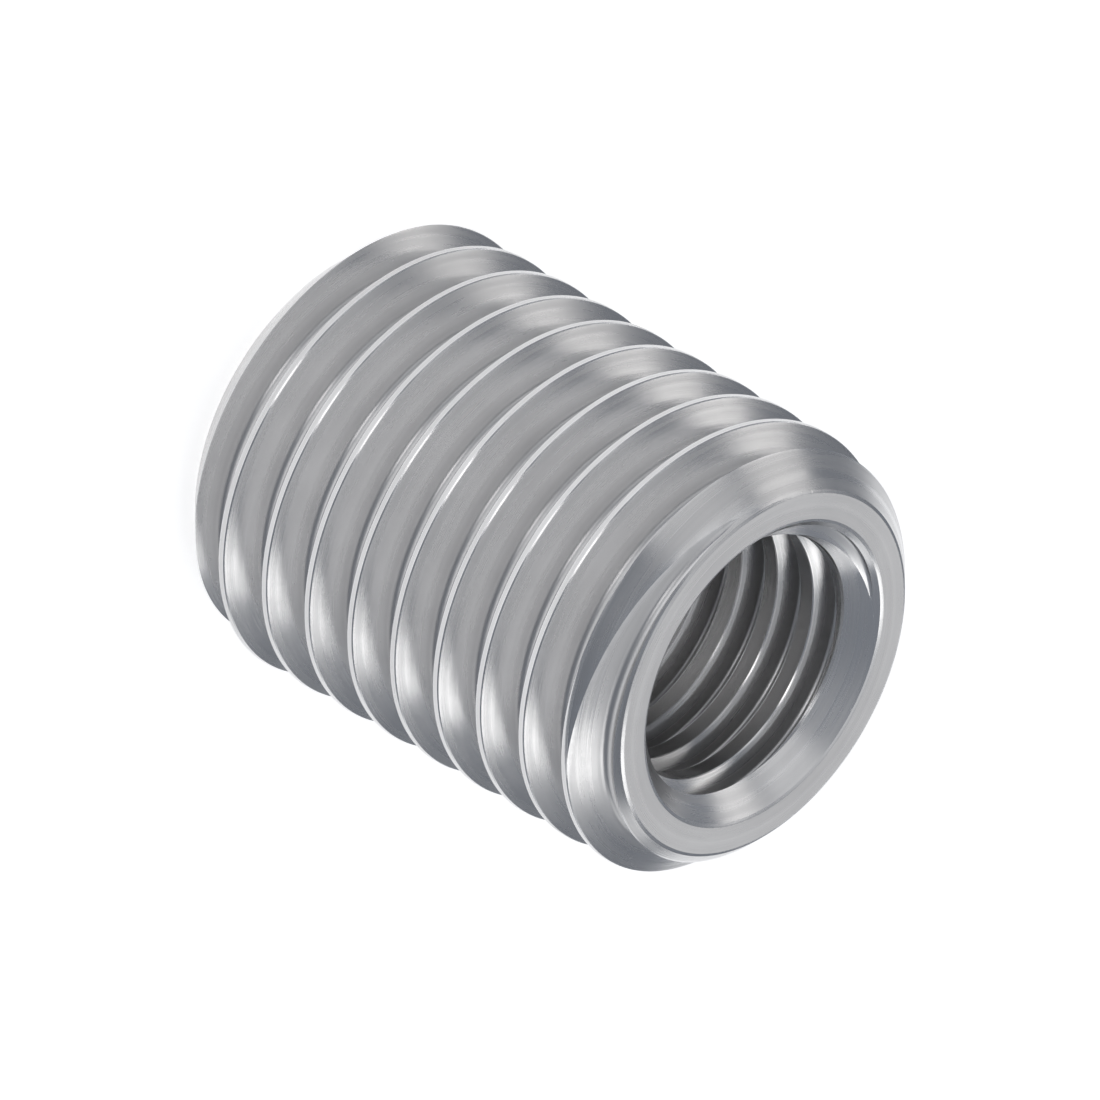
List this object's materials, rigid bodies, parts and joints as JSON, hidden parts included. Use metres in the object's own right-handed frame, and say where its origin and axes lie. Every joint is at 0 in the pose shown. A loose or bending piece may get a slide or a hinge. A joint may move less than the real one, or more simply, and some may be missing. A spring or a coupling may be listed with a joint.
{
  "type": "thread insert",
  "caption": "Turned steel thread insert: a sleeve threaded outside and inside, with bevelled ends and a countersunk bore.",
  "frame": {"origin": "centre of the back end face, on the insert's axis", "axes": "+Z along the axis, from the back end face to the front end face"},
  "size_m": [0.0119, 0.0118, 0.015],
  "materials": {
    "turned_steel": "turned and satin, with fine rings from the tool"
  },
  "bodies": {
    "root": {"thread_insert": "turned_steel"}
  },
  "joints": []
}
